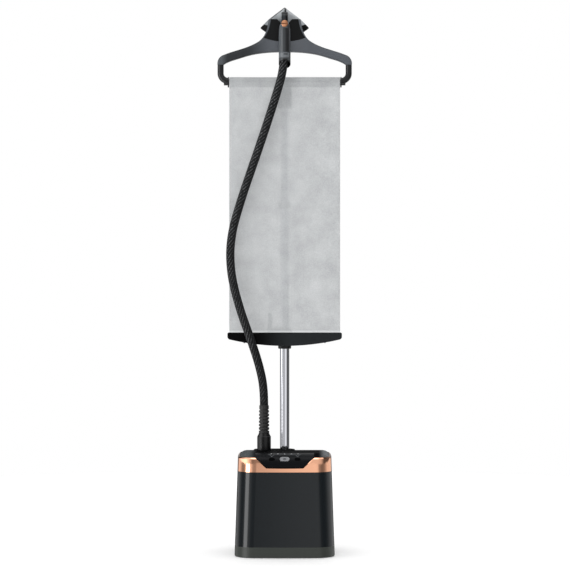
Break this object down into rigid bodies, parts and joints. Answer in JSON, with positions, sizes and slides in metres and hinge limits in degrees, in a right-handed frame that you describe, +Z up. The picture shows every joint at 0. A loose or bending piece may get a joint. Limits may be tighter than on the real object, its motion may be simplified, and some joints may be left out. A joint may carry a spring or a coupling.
{
  "type": "upright garment steamer",
  "caption": "Upright garment steamer: boiler base with rear water tank, telescopic pole, hanger cradle, steam head on a woven hose and a roller press cloth.",
  "frame": {"origin": "on the floor, under the middle of the base", "axes": "+Z up, the front faces -Y, +X to the right of someone facing the front"},
  "size_m": [0.401, 0.2756, 1.6268],
  "materials": {
    "shell_black": "satin black moulded plastic",
    "tray_grey": "dark warm grey moulded plastic",
    "copper": "metallised copper-coloured trim",
    "deck_black": "satin black moulded plastic",
    "silver": "satin silver",
    "light": "clear white light window",
    "board_green": "circuit board",
    "boiler_metal": "cast",
    "inner_plastic": "plain grey moulding",
    "smoke": "smoke-grey translucent plastic",
    "connector_black": "gloss black",
    "rubber_black": "matt rubber",
    "hose_weave": "woven textile sleeve over a hose",
    "chrome": "polished tube",
    "clamp_black": "satin black",
    "steel": "plain",
    "cloth_grey": "light grey technical fabric",
    "anthracite": "satin anthracite",
    "panel_black": "matt black",
    "head_grey": "satin mid grey",
    "sole_metal": "polished plate",
    "grip_grey": "satin grey"
  },
  "bodies": {
    "base": {"rubber_feet": "rubber_black", "base_tray": "tray_grey", "wheel_axles": "steel", "screws": "steel", "base_shell": "shell_black", "cord_inlet": "connector_black", "copper_band": "copper", "deck_cover": "deck_black", "control_panel": "deck_black", "level_lights": "light", "control_board": "board_green", "boiler": "boiler_metal", "pump": "inner_plastic", "steam_pipe": "inner_plastic", "tank_bay": "deck_black", "pole_socket": "deck_black", "hose_connector": "connector_black", "hose_boot": "rubber_black", "steam_hose": "hose_weave", "lower_tube": "chrome", "lower_clamp": "clamp_black", "lower_lever_pin": "steel", "bar_front": "clamp_black", "bar_back": "clamp_black", "bar_bracket": "clamp_black", "press_cloth": "cloth_grey"},
    "left_wheel": {"left_wheel": "rubber_black"},
    "right_wheel": {"right_wheel": "rubber_black"},
    "power_button": {"power_button": "silver"},
    "minus_button": {"minus_button": "connector_black"},
    "plus_button": {"plus_button": "connector_black"},
    "tank": {"water_tank": "smoke", "tank_valve": "inner_plastic", "tank_lid": "deck_black"},
    "tank_bail": {"tank_bail": "clamp_black"},
    "filler_cap": {"filler_cap": "rubber_black"},
    "lower_lever": {"lower_lever": "clamp_black"},
    "mid_pole": {"mid_tube": "chrome", "mid_clamp": "clamp_black", "mid_lever_pin": "steel"},
    "mid_lever": {"mid_lever": "clamp_black"},
    "upper_pole": {"upper_tube": "chrome", "hanger_body": "anthracite", "cradle_panel": "panel_black", "hanger_housing": "anthracite", "hanger_collar": "clamp_black", "roller_brackets": "panel_black"},
    "roller": {"cloth_roll": "cloth_grey", "roller_tube": "silver", "roller_ends": "inner_plastic", "roller_spring": "steel"},
    "steam_head": {"head_shell": "head_grey", "head_gasket": "panel_black", "soleplate": "sole_metal", "head_neck": "grip_grey", "handle_front": "grip_grey", "handle_back": "grip_grey", "handle_inlay": "panel_black", "handle_mouth": "rubber_black"},
    "steam_trigger": {"steam_trigger": "copper"}
  },
  "joints": [
    {"name": "pole_height", "type": "slide", "parent": "base", "child": "upper_pole", "axis": [0, 0, 1], "range_m": [-0.645, 0], "deforming": ["press_cloth", "steam_hose"]},
    {"name": "mid_pole_slide", "type": "slide", "parent": "base", "child": "mid_pole", "axis": [0, 0, 1], "range_m": [-0.365, 0]},
    {"name": "roller_spin", "type": "hinge", "parent": "upper_pole", "child": "roller", "pos_m": [0, 0.016, 1.4014], "axis": [1, 0, 0], "range_deg": [-2340, 0]},
    {"name": "head_lift", "type": "slide", "parent": "upper_pole", "child": "steam_head", "axis": [0, 0, 1], "range_m": [0, 0.05]},
    {"name": "steam_trigger_press", "type": "slide", "parent": "steam_head", "child": "steam_trigger", "axis": [0, 1, 0], "range_m": [0, 0.003], "stiffness_N_per_m": 500},
    {"name": "lower_lever_cam", "type": "hinge", "parent": "base", "child": "lower_lever", "pos_m": [0, 0.068, 0.612], "axis": [-1, 0, 0], "range_deg": [0, 90]},
    {"name": "mid_lever_cam", "type": "hinge", "parent": "mid_pole", "child": "mid_lever", "pos_m": [0, 0.0675, 1.032], "axis": [-1, 0, 0], "range_deg": [0, 90]},
    {"name": "power_button_press", "type": "slide", "parent": "base", "child": "power_button", "axis": [0, 0.7771, -0.6293], "range_m": [0, 0.002], "stiffness_N_per_m": 400},
    {"name": "minus_button_press", "type": "slide", "parent": "base", "child": "minus_button", "axis": [0, 0.7771, -0.6293], "range_m": [0, 0.002], "stiffness_N_per_m": 400},
    {"name": "plus_button_press", "type": "slide", "parent": "base", "child": "plus_button", "axis": [0, 0.7771, -0.6293], "range_m": [0, 0.002], "stiffness_N_per_m": 400},
    {"name": "tank_lift", "type": "slide", "parent": "base", "child": "tank", "axis": [0, 0, 1], "range_m": [0, 0.24]},
    {"name": "bail_swing", "type": "hinge", "parent": "tank", "child": "tank_bail", "pos_m": [0, 0.082, 0.293], "axis": [1, 0, 0], "range_deg": [0, 90]},
    {"name": "filler_cap_hinge", "type": "hinge", "parent": "tank", "child": "filler_cap", "pos_m": [0, 0.079, 0.2946], "axis": [1, 0, 0], "range_deg": [0, 95]},
    {"name": "left_wheel_spin", "type": "hinge", "parent": "base", "child": "left_wheel", "pos_m": [-0.072, 0.1235, 0.0145], "axis": [1, 0, 0], "continuous": true},
    {"name": "right_wheel_spin", "type": "hinge", "parent": "base", "child": "right_wheel", "pos_m": [0.072, 0.1235, 0.0145], "axis": [1, 0, 0], "continuous": true}
  ],
  "couplings": [
    {"joint": "mid_pole_slide", "follows": "pole_height", "ratio": 0.5658},
    {"joint": "roller_spin", "follows": "pole_height", "rad_per_m": 63.2}
  ]
}
